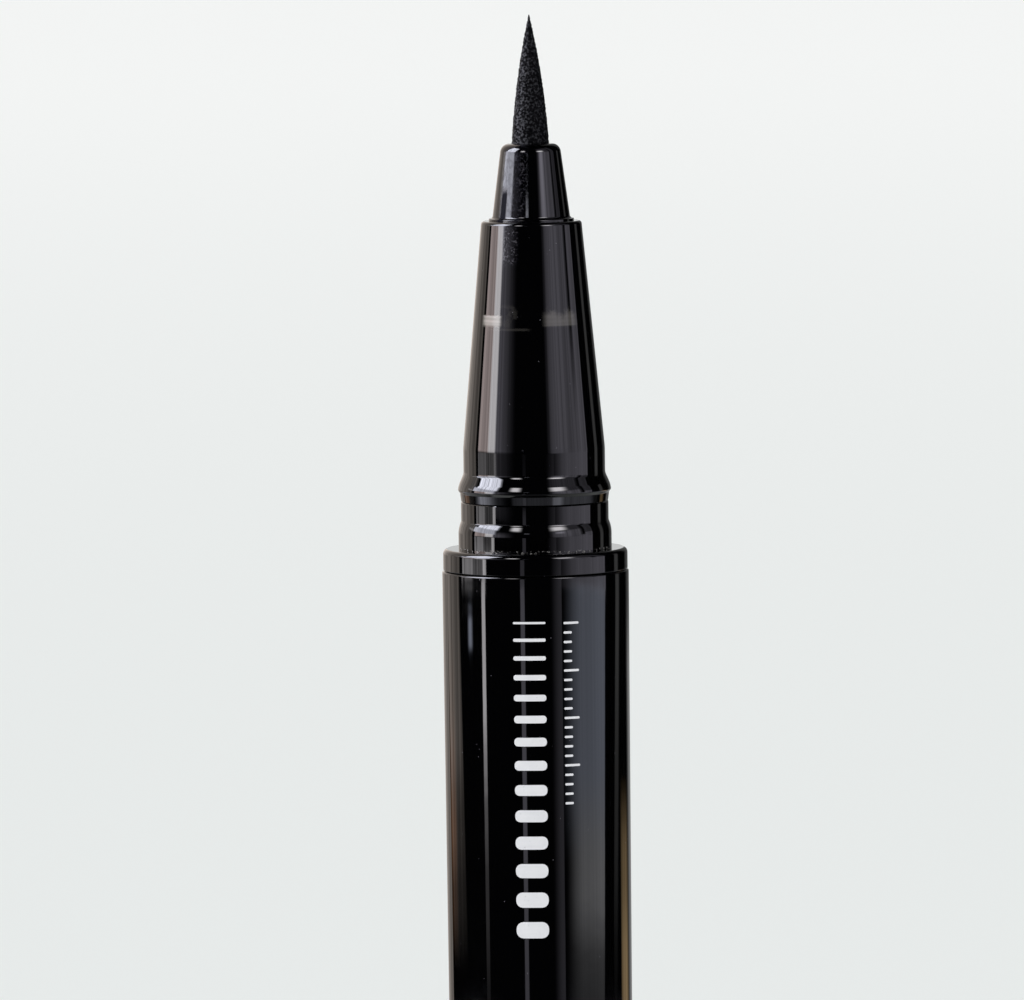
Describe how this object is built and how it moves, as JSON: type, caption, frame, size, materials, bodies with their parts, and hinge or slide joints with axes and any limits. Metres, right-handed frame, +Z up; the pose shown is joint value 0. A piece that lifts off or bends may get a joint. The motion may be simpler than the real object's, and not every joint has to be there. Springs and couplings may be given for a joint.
{
  "type": "liquid eyeliner pen",
  "caption": "Slim round eyeliner pen with a pointed fibre tip, stepped conical grip and long barrel, standing on its cap, which is on the tail post.",
  "frame": {"origin": "centre of the cap's closed end, on which the pen stands", "axes": "+Z up the pen from the closed end of the posted cap to the point of the tip; -Y is the printed front of the barrel"},
  "size_m": [0.0106, 0.0106, 0.1617],
  "materials": {
    "fibre_tip": "matt bundled fibre, saturated with black ink",
    "fibre_rod": "matt bundled fibre",
    "gloss_black": "high gloss moulded plastic",
    "barrel_black": "high gloss moulded plastic",
    "grey_plastic": "fine matt",
    "dark_plastic": "satin moulded plastic",
    "seal_rubber": "matt rubber",
    "clear_grey_plastic": "cloudy moulded plastic",
    "soft_white_plastic": "soft waxy plastic",
    "steel": "polished steel"
  },
  "bodies": {
    "cap": {"cap_shell": "barrel_black", "cap_liner": "soft_white_plastic"},
    "pen": {"brush_tip": "fibre_tip", "tip_sleeve": "grey_plastic", "nose_cone": "gloss_black", "grip_section": "gloss_black", "feed_rod": "fibre_rod", "ink_collector": "dark_plastic", "section_seal": "seal_rubber", "shoulder_ring": "gloss_black", "tank_plug": "clear_grey_plastic", "ink_tank": "clear_grey_plastic", "barrel": "barrel_black", "tail_plug": "barrel_black"},
    "ball": {"stirring_ball": "steel"}
  },
  "joints": [
    {"name": "pen_pull", "type": "slide", "parent": "cap", "child": "pen", "axis": [0, 0, 1], "range_m": [0, 0.02]},
    {"name": "ball_travel", "type": "slide", "parent": "pen", "child": "ball", "axis": [0, 0, 1], "range_m": [0, 0.069]}
  ]
}
